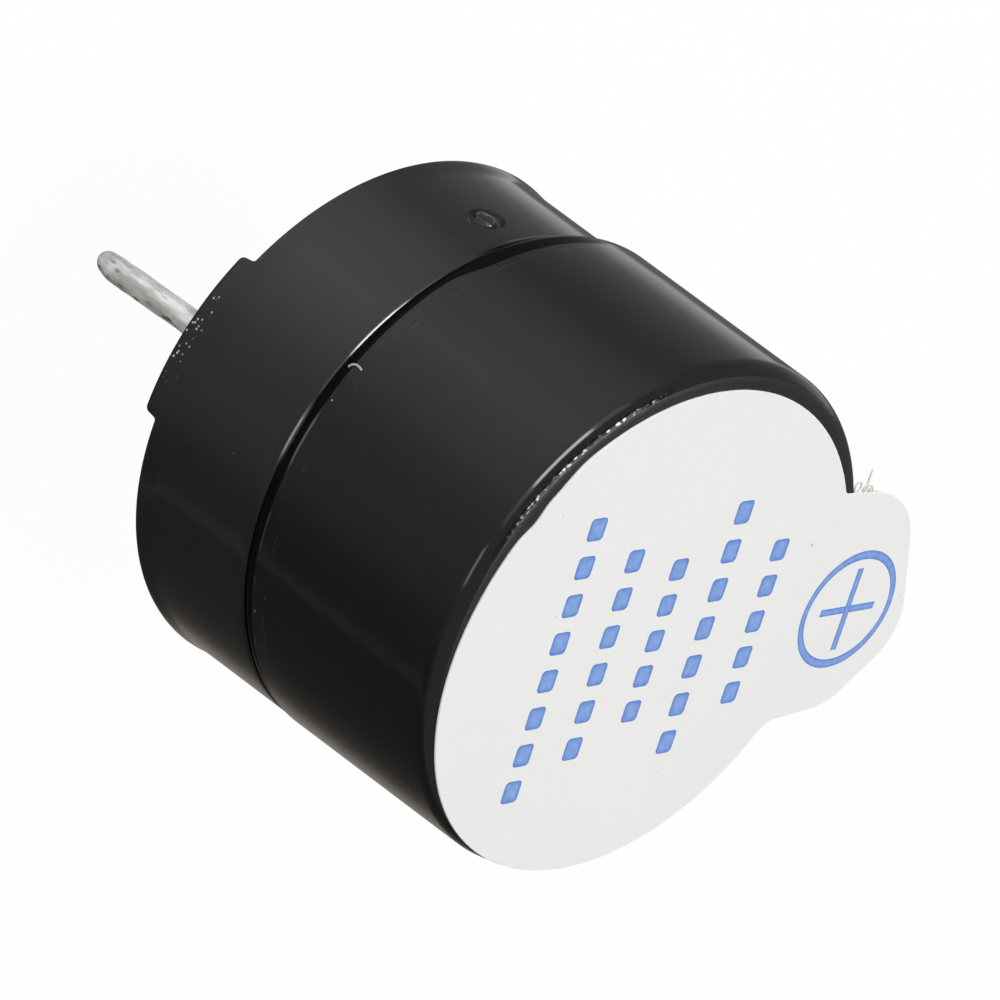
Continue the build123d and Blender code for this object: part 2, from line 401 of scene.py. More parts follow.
def near(tree, place, spot, start, end):
    """How near a place is to a spot: 0 at start, 1 at end, in millimetres."""
    away = node(tree, "VectorMath", {0: place, 1: spot * PER_MM}, operation="DISTANCE").outputs["Value"]
    return remap(tree, away, start, end)


def painted_highlight_line(tree, place, colour, band, level):
    """A colour with an edge painted pale in dashes: a painted highlight."""
    dashes = remap(tree, speckle(tree, place, 2.2, 3), 0.52, 0.62)
    return blend(tree, times(tree, band, dashes), colour, grey(level))


def cap_plastic():
    """The cap's plastic: painted shade darkening the groove at the joint, scuffs over it edged with painted
    highlights, glints on the upper edge, a dull top.
    """
    material, tree, place, height, colour, rough, normal = black_plastic("cap_plastic", 0.0075)
    groove_top, scuff_top = GROOVE_TOP * PER_MM, SCUFF_TOP * PER_MM
    scuffed = stripe(tree, height, groove_top, scuff_top, 0.06)
    streak = remap(tree, speckle(tree, place, 3.0, 4, (1, 1, 9)), 0.62, 0.70)
    colour = blend(tree, times(tree, streak, scuffed, 0.16), colour, grey(0.08))
    specks = times(tree, dots(tree, place, 2.1, 0.075), scuffed)
    colour = blend(tree, specks, colour, grey(0.3))
    # Painted highlights: pale dashed lines along the top and the bottom edge of the scuffed band
    colour = painted_highlight_line(tree, place, colour, stripe(tree, height, scuff_top, scuff_top + 0.012, 0.012), 0.03)
    colour = painted_highlight_line(tree, place, colour, stripe(tree, height, groove_top, groove_top + 0.015, 0.015), 0.05)
    # Painted shade: the groove at the joint is darkened, and reaches higher near the wide side
    wide = near(tree, place, beside_tab(CAP_RADIUS, JOINT, WIDE_GROOVE_SHADE_CAP), 2.6, 1.4)
    reach = calc(tree, "SUBTRACT", height, times(tree, wide, 0.2))
    groove = remap(tree, reach, groove_top, groove_top - 0.035)
    colour = blend(tree, groove, colour, grey(0.004))
    # Painted highlight: a pale patch on the groove's top edge where the joint catches the light
    painted_highlight_patch = stripe(tree, height, groove_top - 0.03, groove_top + 0.01, 0.015)
    spot = beside_tab(CAP_RADIUS, GROOVE_TOP, JOINT_HIGHLIGHT_PATCH)
    painted_highlight_patch = times(tree, painted_highlight_patch, near(tree, place, spot, 0.85, 0.2))
    colour = blend(tree, times(tree, painted_highlight_patch, 0.7), colour, grey(0.12))
    glint_low, glint_high = (level * PER_MM for level in GLINT_BAND)
    line = stripe(tree, height, glint_low, glint_high, 0.006)
    spot = beside_tab(CAP_RADIUS, CAP_TOP, CAP_GLINTS)
    line = times(tree, line, near(tree, place, spot, 2.9, 2.2))
    glint = dots(tree, place, 9, 0.55)
    gloss = mix(tree, line, 0.5, mix(tree, glint, 0.08, 1.0))
    # The painted shade also takes the gloss out of the groove
    gloss = mix(tree, groove, gloss, 0.03)
    grain = remap(tree, height, glint_high, glint_high + 0.01)
    rough = calc(tree, "ADD", rough, times(tree, grain, 0.36))
    pits = times(tree, speckle(tree, place, 20, 2), grain)
    normal = bump(tree, pits, 5 * MICRON, normal)
    looks = {"Base Color": colour, "Roughness": rough, "Normal": normal}
    surface(tree, {**looks, "IOR": 1.5, "Specular IOR Level": gloss})
    return material


def case_plastic():
    """The case's plastic, with painted shade and painted highlights at the shoulder, a polished spot on it, a
    painted highlight and a dull ring round the gate, and crumbs with painted glints on the foot in front of the
    pin.
    """
    material, tree, place, height, colour, rough, normal = black_plastic("case_plastic", 0.0125)
    joint = JOINT * PER_MM
    shoulder = stripe(tree, height, joint - SHOULDER_DROP * PER_MM, joint, 0.004)
    spot = beside_tab(CASE_RADIUS, JOINT, WIDE_GROOVE_SHADE_CASE)
    # Painted highlight: a pale line below the joint near the wide side, for the shoulder edge's highlight
    edge = stripe(tree, height, joint - 0.21, joint - 0.17, 0.02)
    painted_highlight_patch = times(tree, edge, near(tree, place, spot, 1.2, 0.7))
    colour = blend(tree, times(tree, painted_highlight_patch, 0.5), colour, grey(0.1))
    # Painted shade: the case's top near the wide side is darkened and loses its gloss
    groove = remap(tree, height, joint - 0.15, joint - 0.11)
    groove = times(tree, groove, near(tree, place, spot, 2.1, 1.2))
    colour = blend(tree, groove, colour, grey(0.004))
    spot = around(CASE_RADIUS, GATE_HEIGHT, GATE_ANGLE)
    # Painted highlight: a pale dashed ring round the gate's pip, where its lip catches the light
    ring = times(tree, near(tree, place, spot, 0.3, 0.24), near(tree, place, spot, 0.13, 0.19))
    colour = painted_highlight_line(tree, place, colour, ring, 0.14)
    dull = times(tree, near(tree, place, spot, 0.46, 0.40), near(tree, place, spot, 0.26, 0.31))
    # Crumbs and painted glints: pale dots on the foot, partly crumbs and partly the sparkle of its rough surface
    spot = beside_tab(RIM_RADIUS, 0.15 * MM, FOOT_CRUMBS_AND_GLINTS)
    crumbs_and_glints = times(tree, near(tree, place, spot, 1.15, 0.8), remap(tree, height, 0.5, 0.25))
    crumbs_and_glints = times(tree, crumbs_and_glints, remap(tree, speckle(tree, place, 4, 1), 0.38, 0.48))
    colour = blend(tree, times(tree, crumbs_and_glints, dots(tree, place, 9, 0.3)), colour, grey(0.55))
    # Painted highlight: a pale patch on the shoulder where the joint catches the light
    spot = beside_tab(CASE_RADIUS, JOINT, JOINT_HIGHLIGHT_PATCH)
    painted_highlight_patch = times(tree, shoulder, near(tree, place, spot, 0.85, 0.2))
    colour = blend(tree, times(tree, painted_highlight_patch, 0.8), colour, grey(0.2))
    spot = beside_tab(CASE_RADIUS, JOINT, POLISHED_SHOULDER)
    polished = times(tree, shoulder, near(tree, place, spot, 0.66, 0.45))
    gloss = mix(tree, polished, 0.5, 1.0)
    gloss = mix(tree, times(tree, dull, 0.7), gloss, 0.1)
    # The painted shade also takes the gloss out of the groove
    gloss = mix(tree, groove, gloss, 0.03)
    looks = {"Base Color": colour, "Roughness": rough, "Normal": normal}
    surface(tree, {**looks, "IOR": 1.56, "Specular IOR Level": gloss})
    return material


def white_film():
    """Coated white film with faint fibres and a few specks."""
    material, tree, place = new_material("white_film")
    cloud = speckle(tree, place, 0.35)
    fibre = speckle(tree, place, 6, 4)
    colour = blend(tree, cloud, (0.82, 0.82, 0.805, 1), (0.855, 0.855, 0.845, 1))
    colour = blend(tree, remap(tree, fibre, 0.35, 0.75, 0, 0.10), colour, (0.72, 0.72, 0.71, 1))
    specks = times(tree, dots(tree, place, 0.9, 0.04), 0.4)
    mark = near(tree, place, stuck_on(FILM_TOP) @ (FILM_SPECK), 0.05, 0.02)
    specks = calc(tree, "MAXIMUM", specks, times(tree, mark, 0.8))
    colour = blend(tree, specks, colour, (0.40, 0.39, 0.36, 1))
    normal = bump(tree, fibre, 1.0 * MICRON)
    looks = {"Base Color": colour, "Roughness": 0.65, "Normal": normal}
    surface(tree, {**looks, "IOR": 1.4, "Specular IOR Level": 0.2})
    return material


def blue_ink():
    """Blue stamp ink, thicker and darker along its edges."""
    material, tree, place = new_material("blue_ink")
    edge = node(tree, "Attribute", attribute_name="edge").outputs["Fac"]
    blot = speckle(tree, place, 7, 3)
    depth = calc(tree, "ADD", times(tree, edge, 0.75), remap(tree, blot, 0.3, 0.7, 0, 0.3))
    colour = blend(tree, depth, (0.26, 0.41, 0.77, 1), (0.08, 0.19, 0.56, 1))
    normal = bump(tree, blot, 0.6 * MICRON)
    looks = {"Base Color": colour, "Roughness": 0.6, "Normal": normal}
    surface(tree, {**looks, "IOR": 1.4, "Specular IOR Level": 0.3})
    return material


def dipped_tin(name):
    """Hot-dipped tin: uneven, streaked along the wire, with a few dark pits drawn out the same way."""
    material, tree, place = new_material(name)
    streak = speckle(tree, place, 7, 5, (1, 1, 0.2))
    blot = speckle(tree, place, 2.6, 3)
    few = remap(tree, speckle(tree, place, 1.6, 1), 0.37, 0.45)
    drawn = node(tree, "Mapping", {"Vector": place, "Scale": (1, 1, 0.35)}).outputs[0]
    pits = times(tree, dots(tree, drawn, 5.0, 0.3), few)
    colour = blend(tree, remap(tree, streak, 0.38, 0.62), (0.62, 0.61, 0.58, 1), (0.97, 0.96, 0.94, 1))
    colour = blend(tree, times(tree, pits, 0.9), colour, (0.09, 0.085, 0.08, 1))
    rough = remap(tree, blot, 0.3, 0.7, 0.12, 0.3)
    normal = bump(tree, streak, 12 * MICRON)
    normal = bump(tree, blot, 10 * MICRON, normal)
    looks = {"Base Color": colour, "Roughness": rough, "Normal": normal, "Metallic": 0.4, "IOR": 1.8}
    surface(tree, looks)
    return material


def mottled(name, dark, light, metal, rough, scale=2.0, stretch=(1, 1, 1), depth=2.0):
    """A plain worked surface: two close tones, uneven gloss and a fine bump."""
    material, tree, place = new_material(name)
    tone = speckle(tree, place, scale, 3, stretch)
    colour = blend(tree, tone, (*dark, 1), (*light, 1))
    gloss = remap(tree, tone, 0.3, 0.7, rough - 0.06, rough + 0.06)
    normal = bump(tree, tone, depth * MICRON)
    surface(tree, {"Base Color": colour, "Roughness": gloss, "Normal": normal, "Metallic": metal})
    return material


def dress(node_name, material):
    """Gives a solid its material."""
    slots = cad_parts[node_name].data.materials
    slots.clear()
    slots.append(material)


# Pieces


def top_cap():
    """The cap, with the uneven line and the eroded grain that its mould left on the upper edge."""
    lean = math.atan2(CAP_DRAFT, CAP_TOP - JOINT)
    middle_height = CAP_TOP - CAP_TOP_ROUNDING
    wall = CAP_RADIUS - CAP_DRAFT * (middle_height - JOINT) / (CAP_TOP - JOINT)
    middle = (wall - CAP_TOP_ROUNDING / math.cos(lean), middle_height)
    slopes = [math.degrees(lean), 6, 11, 16, 21, 25, 29, 33, 37, 41, 45]
    slopes += list(range(48, 66)) + list(range(66, 91, 2))
    upper = arc(middle, CAP_TOP_ROUNDING, slopes)
    ring = [Vector((middle[0] - 0.03 * MM * k, CAP_TOP)) for k in range(1, 7)]
    corners = [
        (CAP_BORE + CAP_LEAD_IN, JOINT, 0),
        (CAP_RADIUS, JOINT, CAP_JOINT_ROUNDING),
        (*upper[0], 0),
        (SOUND_HOLE_RADIUS, CAP_TOP, 0),
        (SOUND_HOLE_RADIUS, CAP_CEILING, 0),
        (CAP_BORE, CAP_CEILING, 0),
        (CAP_BORE, JOINT + CAP_LEAD_IN, 0),
    ]
    profile = rounded(corners, math.radians(9))
    start = profile.index(upper[0])
    lower = profile[start - 1]
    profile[start : start + 1] = [lower.lerp(upper[0], share) for share in (0.33, 0.67)] + upper + ring

    def weathered(place):
        """The uneven line along the edge, and the grain above it."""
        out = math.hypot(place.x, place.y) - middle[0]
        if place.z < middle_height or out < -0.2 * MM:
            return place
        spot = place * PER_MM
        slope = math.degrees(math.atan2(place.z - middle_height, max(0.0, out)))
        line = GRAIN_SLOPE + 2.0 * noise.noise(Vector((spot.x, spot.y, 7)) * 1.7)
        rag = noise.noise(Vector((spot.x, spot.y, 3)) * 9)
        ridge = math.exp(-(((slope - line) / 2.2) ** 2)) * (0.3 + rag) * 3 * MICRON
        grain = smooth(slope, line, line + 4) * noise.noise(spot * 13) * 3 * MICRON
        away = Vector((place.x, place.y, 0)).normalized() * math.cos(math.radians(slope))
        away.z = math.sin(math.radians(slope))
        moved = place + away * (ridge + grain)
        moved.z = min(moved.z, CAP_TOP)
        return moved

    mesh = turned("top_cap_shell", [tuple(p) for p in profile], CAP_SEGMENTS, weathered)
    mesh.transform(Matrix.Translation((0, CAP_SHIFT, 0)))
    mesh.materials.append(cap_plastic())
    return piece("top_cap_shell", mesh, "cap_plastic", "top_cap")


def case_columns():
    """Angles round the case, each with the height at which the rim ends there: lower at the feet."""
    fine = []
    for middle, side in ((0, 1), (0, -1), (math.pi, 1), (math.pi, -1)):
        end = middle + FOOT_TURN + side * FOOT_HALF_ANGLE
        for step in range(9):
            lean = math.pi / 2 * step / 8
            out = FOOT_ROUNDING * (math.sin(lean) - 1)
            fine.append(((end + side * out / RIM_RADIUS) % TURN, FOOT_ROUNDING * (1 - math.cos(lean))))
        for step in range(7):
            lean = math.pi / 2 * step / 6
            out = FOOT_SLANT + FOOT_FILLET * (1 - math.cos(lean))
            fine.append(((end + side * out / RIM_RADIUS) % TURN, FOOT_HEIGHT + FOOT_FILLET * (math.sin(lean) - 1)))
    reach = math.ceil(GATE_BAND / RIM_RADIUS / math.radians(0.2))
    fine += [(GATE_ANGLE + math.radians(0.2) * k, FOOT_HEIGHT) for k in range(-reach, reach + 1)]
    plain = []
    for k in range(CASE_SEGMENTS):
        angle = TURN * (k + 0.5) / CASE_SEGMENTS
        if min(abs(angle - other) for other, low in fine) > math.radians(0.3):
            aside = abs(math.remainder(angle - FOOT_TURN, math.pi))
            plain.append((angle, 0 if aside < FOOT_HALF_ANGLE else FOOT_HEIGHT))
    return sorted(fine + plain)


def gate_mark(angle, height):
    """How deep the gate's mark is: a soft ring groove with an uneven lip round its pip."""
    across = (angle - GATE_ANGLE) * CASE_RADIUS
    up = height - GATE_HEIGHT
    away = math.hypot(across, up)
    if away > GATE_BAND:
        return 0
    pip = math.hypot(across / GATE_PIP[0], up / GATE_PIP[1])
    groove = smooth(pip, 0.95, 1.3) * (1 - smooth(away, GATE_RADIUS - 0.07 * MM, GATE_RADIUS + 0.02 * MM))
    lip = math.exp(-(((pip - 1) / 0.14) ** 2))
    lip *= 0.7 + noise.noise(Vector((across, up, 0)) * PER_MM * 7)
    return GATE_DEPTH * groove - GATE_LIP * lip


def lower_case():
    """The case, with softened edges and the gate's mark."""

    def wall(height):
        flare = RIM_FLARE * (1 - smooth(height, RIM_BAND, FLARE_HEIGHT))
        return CASE_RADIUS + CASE_DRAFT * (1 - height / JOINT) + flare

    band = [GATE_HEIGHT + GATE_BAND * (k / 20 - 1) for k in range(41)]
    edge = JOINT - SHOULDER_DROP
    corners = [
        (SPIGOT_RADIUS, WALL_TOP, 0),
        (wall(WALL_TOP), WALL_TOP, 0),
        (wall(edge), edge, SHOULDER_ROUNDING),
        (wall(edge) - SHOULDER_INSET, JOINT, SHOULDER_ROUNDING),
        (SPIGOT_RADIUS, JOINT, 0),
    ]
    shoulder = [tuple(p) for p in rounded(corners, math.radians(12))[1:]]
    inside = [
        (SPIGOT_RADIUS, CASE_TOP - SPIGOT_LEAD_IN),
        (SPIGOT_RADIUS - SPIGOT_LEAD_IN, CASE_TOP),
        (DIAPHRAGM_BORE, CASE_TOP),
        (DIAPHRAGM_BORE, DIAPHRAGM_SEAT),
        (MOTOR_BORE, DIAPHRAGM_SEAT),
        (MOTOR_BORE, YOKE_SEAT),
        (LEDGE_BORE, YOKE_SEAT),
        (LEDGE_BORE, RELIEF_TOP),
    ]
    columns = []
    for angle, low in case_columns():
        rim = (wall(low) - RIM_ROUNDING, low + RIM_ROUNDING)
        profile = [tuple(p) for p in arc(rim, RIM_ROUNDING, (-90, -60, -30, 0))]
        start = low + RIM_ROUNDING
        heights = [start + (FLARE_HEIGHT - start) * share / 8 for share in range(1, 9)]
        heights += [WALL_MIDDLE, *band]
        profile += [(wall(height) - gate_mark(angle, height), height) for height in heights]
        aside = PIN_OFFSET * abs(math.sin(angle))
        relief = LEDGE_BORE
        if aside < RELIEF_RADIUS:
            reach = PIN_OFFSET * abs(math.cos(angle)) + math.sqrt(RELIEF_RADIUS**2 - aside**2)
            relief = max(LEDGE_BORE, reach)
        profile += shoulder + inside
        profile += [(relief, RELIEF_TOP), (relief, BOARD_TOP), (CASE_BORE, BOARD_TOP), (CASE_BORE, low)]
        columns.append([around(radius, height, angle) for radius, height in profile])
    mesh = swept("lower_case_shell", columns)
    mesh.materials.append(case_plastic())
    return piece("lower_case_shell", mesh, "case_plastic", "lower_case")


def film_outline():
    """The film's outline: a disc and its grip tab, with rounded necks between them."""
    shares = ((0.854, 1), (1.034, -0.216), (0.834, -0.767))
    roundings = (2.0 * MM, 1.3 * MM, 1.5 * MM)
    tab = [(TAB_REACH * a, TAB_HALF_WIDTH * b) for a, b in shares]
    foot = Vector((0, -1.096 * TAB_HALF_WIDTH))
    upper = neck((0, TAB_HALF_WIDTH), tab[0], 0.2 * MM, 1)
    lower = neck(foot, tab[2], 0.6 * MM, -1)
    corners = [(*upper[-1], 0)]
    corners += [(*corner, rounding) for corner, rounding in zip(tab, roundings)]
    corners += [(*lower[-1], 0)]
    points = upper[:-1] + rounded(corners) + lower[-2::-1]
    start = math.atan2(points[-1].y, points[-1].x)
    end = math.atan2(points[0].y, points[0].x) - TURN
    count = 360
    for k in range(1, count):
        angle = start + (end - start) * k / count
        place = math.degrees(angle) % 360
        trim = FILM_TRIM * smooth(place, 130, 142) * (1 - smooth(place, 150, 230))
        dent = FILM_DENT * math.exp(-(((place - FILM_DENT_ANGLE) / FILM_DENT_WIDTH) ** 2))
        radius = FILM_RADIUS - trim - dent
        points.append(radius * Vector((math.cos(angle), math.sin(angle))))
    return points


def neck(start, end, rounding, side):
    """The arc between the film's disc and a tab's edge, from the disc to the edge."""
    start = Vector(start)
    along = (Vector(end) - start).normalized()
    away = side * Vector((-along.y, along.x))
    base = start + away * rounding
    reach = FILM_RADIUS + rounding
    travel = -base.dot(along) + math.sqrt(base.dot(along) ** 2 - base.length_squared + reach**2)
    middle = base + along * travel
    first = -middle.normalized()
    turn = first.angle_signed(-away)
    steps = 8
    return [middle + rounding * (Matrix.Rotation(-turn * k / steps, 2) @ first) for k in range(steps + 1)]


def stuck_on(height):
    """Where the film's own frame lies on the cap, at a height."""
    return Matrix.Translation((0, -FILM_SHIFT, height)) @ Matrix.Rotation(FILM_TURN, 4, "Z")


def seal_film():
    """The film with softened edges."""
    build = bmesh.new()
    bottom = build.faces.new([build.verts.new((*point, 0)) for point in film_outline()])
    grown = bmesh.ops.extrude_face_region(build, geom=[bottom])
    top = [v for v in grown["geom"] if isinstance(v, bmesh.types.BMVert)]
    bmesh.ops.translate(build, verts=top, vec=(0, 0, film_high.z - film_low.z))
    rims = [e for e in build.edges if abs(e.verts[0].co.z - e.verts[1].co.z) < MICRON]
    bmesh.ops.bevel(build, geom=rims, offset=FILM_EDGE, segments=2, profile=0.5, affect="EDGES")
    mesh = finish_mesh("film_sheet", build, math.radians(15))
    mesh.transform(stuck_on(film_low.z))
    mesh.materials.append(white_film())
    return piece("film_sheet", mesh, "white_film", "seal_film")


def tinned_pin(name, side, low, node_name, seed, bend):
    """A pin whose tin coat is uneven along its free stretch, and which bends a little off its axis."""
    corners = [
        (0, low, 0),
        (PIN_RADIUS, low, PIN_TIP_ROUNDING),
        (PIN_RADIUS, 0, 0),
        (PIN_ROOT_RADIUS, ROOT_TOP, 0),
        (PIN_TAIL_RADIUS, ROOT_TOP, 0),
        (PIN_TAIL_RADIUS, TAIL_TOP, 0),
        (0, TAIL_TOP, 0),
    ]
    profile = rounded(corners)
    straight = max(k for k, point in enumerate(profile) if point.y < 0)
    start, end = profile[straight], profile[straight + 1]
    profile[straight : straight + 1] = spaced(start, end, 0.03 * MM)

    def coat(place):
        """The coat's thick and thin places, level at the seat plane."""
        fade = min(1.0, max(0.0, -place.z / (0.4 * MM)))
        spot = Vector((place.x * PER_MM * 2.2, place.y * PER_MM * 2.2, place.z * PER_MM * 1.1 + seed))
        swell = 1 + fade * (0.05 * noise.noise(spot) + 0.02 * noise.noise(spot * 3) - 0.02)
        tip = smooth(place.z, low + 0.6 * MM, low)
        swell *= 1 - 0.22 * tip
        lean = bend * min(0.0, place.z) + 0.03 * MM * tip
        return Vector((place.x * swell, place.y * swell + lean, place.z))

    mesh = turned(name, [tuple(p) for p in profile], 64, coat)
    mesh.transform(Matrix.Translation((side * PIN_OFFSET, 0, 0)))
    mesh.materials.append(tin)
    return piece(name, mesh, "tinned_wire", node_name)


def ink_band(build, edge, left, right):
    """A strip of ink between two rows of points, darker at both sides."""
    lanes = (0.0, 0.2, 0.5, 0.8, 1.0)
    rows = []
    for a, b in zip(left, right):
        row = [build.verts.new((*a.lerp(b, share), 0)) for share in lanes]
        for vert, share in zip(row, lanes):
            vert[edge] = abs(2 * share - 1) ** 2
        rows.append(row)
    for one, two in zip(rows, rows[1:]):
        for k in range(len(lanes) - 1):
            build.faces.new((one[k], one[k + 1], two[k + 1], two[k]))


def ink_block(build, edge, outline):
    """A block of ink inside an outline, darker along its border."""
    middle = sum(outline, Vector((0, 0))) / len(outline)
    rings = []
    for share, depth in ((1, 1), (0.85, 0.55), (0.6, 0.12), (0.3, 0)):
        ring = [build.verts.new((*middle.lerp(point, share), 0)) for point in outline]
        for vert in ring:
            vert[edge] = depth
        rings.append(ring)
    for outer, inner in zip(rings, rings[1:]):
        for k in range(len(outer)):
            build.faces.new((outer[k - 1], outer[k], inner[k], inner[k - 1]))
    build.faces.new(rings[-1])


def film_print():
    """The polarity sign on the tab, and rows of plain blocks."""
    build = bmesh.new()
    edge = build.verts.layers.float.new("edge")
    outer, inner = SIGN_RADII
    count = 96
    rays = [Matrix.Rotation(TURN * k / count, 2) @ Vector((1, 0)) for k in range(count + 1)]
    inside = [SIGN_PLACE + ray * (inner - 0.05 * MM * (ray.y**2 - 0.5)) for ray in rays]
    ink_band(build, edge, [SIGN_PLACE + ray * outer for ray in rays], inside)
    turn = Matrix.Rotation(PRINT_TURN, 2)
    for start, end, across in (
        (Vector((0, -1.0)), Vector((0, 1.0)), Vector((1, 0))),
        (Vector((0.09, 0)), Vector((0.85, 0)), Vector((0, 1))),
        (Vector((-0.85, 0)), Vector((-0.09, 0)), Vector((0, 1))),
    ):
        ends = [SIGN_PLACE + turn @ end * MM, SIGN_PLACE + turn @ start * MM]
        aside = turn @ across * SIGN_STROKE
        ink_band(build, edge, [point + aside for point in ends], [point - aside for point in ends])
    for along, first, last, blocks in BLOCK_ROWS:
        low, high = along * MM - BLOCK_HALF_HEIGHT, along * MM + BLOCK_HALF_HEIGHT
        pitch = (first - last) / blocks
        for k in range(blocks):
            left = (first - pitch * (k + 0.2)) * MM
            right = (first - pitch * (k + 0.8)) * MM
            corners = [(low, left), (low, right), (high, right), (high, left)]
            outline = rounded([(*corner, BLOCK_ROUNDING) for corner in corners], math.radians(15))
            ink_block(build, edge, [turn @ point for point in outline])
    bmesh.ops.remove_doubles(build, verts=build.verts, dist=MICRON)
    flat = bmesh.ops.extrude_face_region(build, geom=list(build.faces))
    top = [v for v in flat["geom"] if isinstance(v, bmesh.types.BMVert)]
    bmesh.ops.translate(build, verts=top, vec=(0, 0, INK_HEIGHT))
    mesh = finish_mesh("film_print", build)
    mesh.transform(stuck_on(FILM_TOP))
    mesh.materials.append(blue_ink())
    return piece("film_print", mesh, "white_film")


def strands(name, lines, radius, slot, material):
    """Thin threads along smooth lines, each a list of points, as one piece."""
    curve = bpy.data.curves.new(name, "CURVE")
    curve.dimensions = "3D"
    curve.bevel_depth = radius
    curve.bevel_resolution = 2
    curve.use_fill_caps = True
    for line in lines:
        spline = curve.splines.new("NURBS")
        spline.points.add(len(line) - 1)
        for point, place in zip(spline.points, line):
            point.co = (*place, 1)
        spline.order_u = 3
        spline.use_endpoint_u = True
    draft = bpy.data.objects.new(name + "_draft", curve)
    mesh = bpy.data.meshes.new_from_object(draft)
    bpy.data.objects.remove(draft)
    mesh.name = name
    mesh.shade_smooth()
    mesh.materials.clear()
    mesh.materials.append(material)
    return piece(name, mesh, slot)


def glue_threads():
    """Curls and a thread of glue, drawn out of the film's edge at the tab's upper neck."""
    film = stuck_on(film_low.z)
    lines = (
        ((5.05, 2.96, 0.02), (4.98, 3.10, 0.02), (5.02, 3.24, 0.03))
        + ((5.16, 3.22, 0.02), (5.2, 3.06, 0.02), (5.1, 2.96, 0.02)),
        ((5.3, 2.96, 0.02), (5.26, 3.08, 0.03), (5.36, 3.16, 0.03), (5.33, 3.34, 0.03), (5.34, 3.52, 0.03)),
        ((5.36, 2.96, 0.02), (5.38, 3.10, 0.03), (5.48, 3.14, 0.03), (5.6, 3.06, 0.02), (5.64, 2.95, 0.02)),
        ((5.5, 2.95, 0.02), (5.44, 3.03, 0.03), (5.52, 3.07, 0.03), (5.55, 2.95, 0.02)),
        ((5.6, 2.95, 0.02), (5.7, 3.0, 0.02), (5.82, 2.96, 0.02), (5.95, 2.94, 0.02)),
    )
    places = [[film @ (Vector(point) * MM) for point in line] for line in lines]
    look = mottled("glue", (0.62, 0.57, 0.51), (0.88, 0.86, 0.83), 0.0, 0.35, 6)
    return strands("glue_threads", places, 0.02 * MM, "white_film", look)


def cap_burr():
    """A curl of plastic that the mould left by the joint."""
    points = ((166.8, 4.02, 0), (166.3, 4.05, 0.02), (165.8, 4.12, 0.03), (165.6, 4.22, 0.03), (165.9, 4.34, 0))
    line = []
    for angle, height, out in points:
        radius = CAP_RADIUS - CAP_DRAFT * (height * MM - JOINT) / (CAP_TOP - JOINT) + out * MM
        line.append(around(radius, height * MM, math.radians(angle)) + Vector((0, CAP_SHIFT, 0)))
    # Painted highlight: the burr's pale grey stands for its gleam
    look = mottled("burr", (0.2, 0.2, 0.2), (0.6, 0.6, 0.6), 0.0, 0.2, 8)
    return strands("cap_burr", [line], 0.026 * MM, "cap_plastic", look)


tin = dipped_tin("tinned_wire")
lower_case()
top_cap()
seal_film()
film_print()
glue_threads()
cap_burr()
tinned_pin("negative_pin_wire", -1, negative_low.z, "negative_pin", 3.0, 0.0185)
tinned_pin("positive_pin_wire", 1, positive_low.z, "positive_pin", 11.0, 0.0)
dress("potting", mottled("resin", (0.012, 0.012, 0.013), (0.022, 0.022, 0.024), 0.0, 0.22, 0.5, depth=25))

iron = mottled("plated_iron", (0.48, 0.48, 0.46), (0.66, 0.66, 0.64), 1.0, 0.34, 5)
steel = mottled("spring_steel", (0.52, 0.52, 0.50), (0.70, 0.70, 0.68), 1.0, 0.3, 3, (1, 12, 1))
wire = mottled("enamelled_copper", (0.42, 0.16, 0.07), (0.70, 0.34, 0.17), 1.0, 0.3, 2, (1, 1, 14), 8)
plating = mottled("tinned_legs", (0.60, 0.60, 0.58), (0.76, 0.76, 0.74), 1.0, 0.3, 6)
inner_looks = {
    "circuit_board": mottled("board_laminate", (0.36, 0.27, 0.09), (0.50, 0.40, 0.17), 0.0, 0.4, 4),
    "copper_pads": mottled("copper", (0.62, 0.30, 0.18), (0.80, 0.46, 0.30), 1.0, 0.35, 4),
    "transistor_body": mottled("chip_plastic", (0.016, 0.016, 0.016), (0.030, 0.030, 0.030), 0.0, 0.5, 8),
    "transistor_leads": plating,
    "resistor_body": mottled("chip_ceramic", (0.62, 0.61, 0.58), (0.76, 0.75, 0.72), 0.0, 0.45, 6),
    "resistor_terminals": plating,
    "solder_joints": mottled("solder", (0.55, 0.55, 0.54), (0.74, 0.74, 0.73), 1.0, 0.22, 3),
    "yoke_plate": iron,
    "core_pole": iron,
    "coil_winding": wire,
    "coil_leads": wire,
    "ring_magnet": mottled("magnet", (0.030, 0.030, 0.031), (0.062, 0.060, 0.058), 0.0, 0.6, 5),
    "diaphragm": steel,
    "diaphragm_weight": iron,
}
for node_name, look in inner_looks.items():
    dress(node_name, look)


# Stage


def studio_floor():
    """A pale floor under the pins. Mirrors see the studio's own light and not the floor."""
    build = bmesh.new()
    bmesh.ops.create_circle(build, cap_ends=True, segments=96, radius=0.8)
    mesh = bpy.data.meshes.new("floor")
    build.to_mesh(mesh)
    build.free()
    floor = bpy.data.objects.new("floor", mesh)
    floor.location.z = cad_box[0][2] - 0.02 * MM
    bpy.context.scene.collection.objects.link(floor)
    floor.visible_glossy = False
    material = bpy.data.materials.new("floor")
    material.use_nodes = True
    tree = material.node_tree
    tree.nodes.clear()
    path = node(tree, "LightPath")
    paper = node(tree, "BsdfDiffuse", {"Color": grey(0.86)})
    white = node(tree, "Emission", {"Color": grey(1.0), "Strength": 1.0})
    share = times(tree, path.outputs["Is Camera Ray"], 0.97)
    both = node(tree, "MixShader", {0: share, 1: paper.outputs[0], 2: white.outputs[0]})
    node(tree, "OutputMaterial", {"Surface": both.outputs[0]})
    mesh.materials.append(material)


LAMP_REACH = 400 * MM

